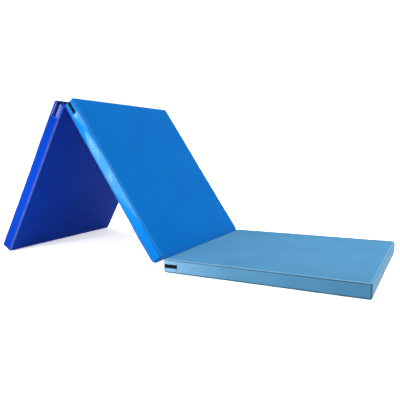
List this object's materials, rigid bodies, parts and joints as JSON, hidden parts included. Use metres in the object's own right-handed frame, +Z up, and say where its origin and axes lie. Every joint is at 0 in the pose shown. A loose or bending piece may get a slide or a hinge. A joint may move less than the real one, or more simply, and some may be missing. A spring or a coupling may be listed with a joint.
{
  "type": "folding gym mat",
  "caption": "Tri-fold exercise mat: foam panels in sewn vinyl covers, joined by fabric fold hinges, with a zip in each panel's end gusset.",
  "frame": {"origin": "centre of the right panel's bottom face, which rests on the floor", "axes": "+X along the mat's length towards the right panel's free end, +Y along the fold lines, +Z up"},
  "size_m": [1.384, 0.6, 0.5728],
  "materials": {
    "vinyl_left": "satin",
    "vinyl_mid": "satin",
    "vinyl_right": "satin",
    "foam": "matte",
    "zip_tape": "matte",
    "zip_coil": "satin",
    "zip_metal": "satin"
  },
  "bodies": {
    "panel_left": {"foam_core_left": "foam", "cover_top_left": "vinyl_left", "cover_bottom_left": "vinyl_left", "side_band_left": "vinyl_left", "gusset_upper_left": "vinyl_left", "gusset_lower_left": "vinyl_left", "zip_tape_upper_left": "zip_tape", "zip_tape_lower_left": "zip_tape", "zip_coil_upper_left": "zip_coil", "zip_coil_lower_left": "zip_coil"},
    "panel_mid": {"foam_core_mid": "foam", "cover_top_mid": "vinyl_mid", "cover_bottom_mid": "vinyl_mid", "side_band_mid": "vinyl_mid", "gusset_upper_mid": "vinyl_mid", "gusset_lower_mid": "vinyl_mid", "zip_tape_upper_mid": "zip_tape", "zip_tape_lower_mid": "zip_tape", "zip_coil_upper_mid": "zip_coil", "zip_coil_lower_mid": "zip_coil", "hinge_strip_left": "vinyl_left"},
    "panel_right": {"foam_core_right": "foam", "cover_top_right": "vinyl_right", "cover_bottom_right": "vinyl_right", "side_band_right": "vinyl_right", "gusset_upper_right": "vinyl_right", "gusset_lower_right": "vinyl_right", "zip_tape_upper_right": "zip_tape", "zip_tape_lower_right": "zip_tape", "zip_coil_upper_right": "zip_coil", "zip_coil_lower_right": "zip_coil", "hinge_strip_right": "vinyl_mid"},
    "slider_left": {"zip_slider_left": "zip_metal"},
    "pull_left": {"zip_pull_left": "zip_metal"},
    "slider_mid": {"zip_slider_mid": "zip_metal"},
    "pull_mid": {"zip_pull_mid": "zip_metal"},
    "slider_right": {"zip_slider_right": "zip_metal"},
    "pull_right": {"zip_pull_right": "zip_metal"}
  },
  "joints": [
    {"name": "fold_right", "type": "hinge", "parent": "panel_right", "child": "panel_mid", "pos_m": [-0.318, 0, 0.0465], "axis": [0, 1, 0], "range_deg": [-56.25, 123.75], "deforming": ["hinge_strip_right"]},
    {"name": "fold_left", "type": "hinge", "parent": "panel_mid", "child": "panel_left", "pos_m": [-0.71125, 0, 0.54865], "axis": [0, -1, 0], "range_deg": [-116.31, 63.69], "deforming": ["hinge_strip_left"]},
    {"name": "zip_slide_left", "type": "slide", "parent": "panel_left", "child": "slider_left", "axis": [0, -1, 0], "range_m": [0, 0.532]},
    {"name": "zip_slide_mid", "type": "slide", "parent": "panel_mid", "child": "slider_mid", "axis": [0, 1, 0], "range_m": [0, 0.532]},
    {"name": "zip_slide_right", "type": "slide", "parent": "panel_right", "child": "slider_right", "axis": [0, 1, 0], "range_m": [0, 0.532]},
    {"name": "pull_turn_left", "type": "hinge", "parent": "slider_left", "child": "pull_left", "pos_m": [-0.73247, 0.266, 0.55989], "axis": [-0.8666, 0, 0.4991], "range_deg": [0, 180]},
    {"name": "pull_turn_mid", "type": "hinge", "parent": "slider_mid", "child": "pull_mid", "pos_m": [-0.69083, -0.266, 0.56127], "axis": [0.8315, 0, 0.5556], "range_deg": [0, 180]},
    {"name": "pull_turn_right", "type": "hinge", "parent": "slider_right", "child": "pull_right", "pos_m": [-0.31715, -0.266, 0.0225], "axis": [0, 0, 1], "range_deg": [0, 180]}
  ]
}
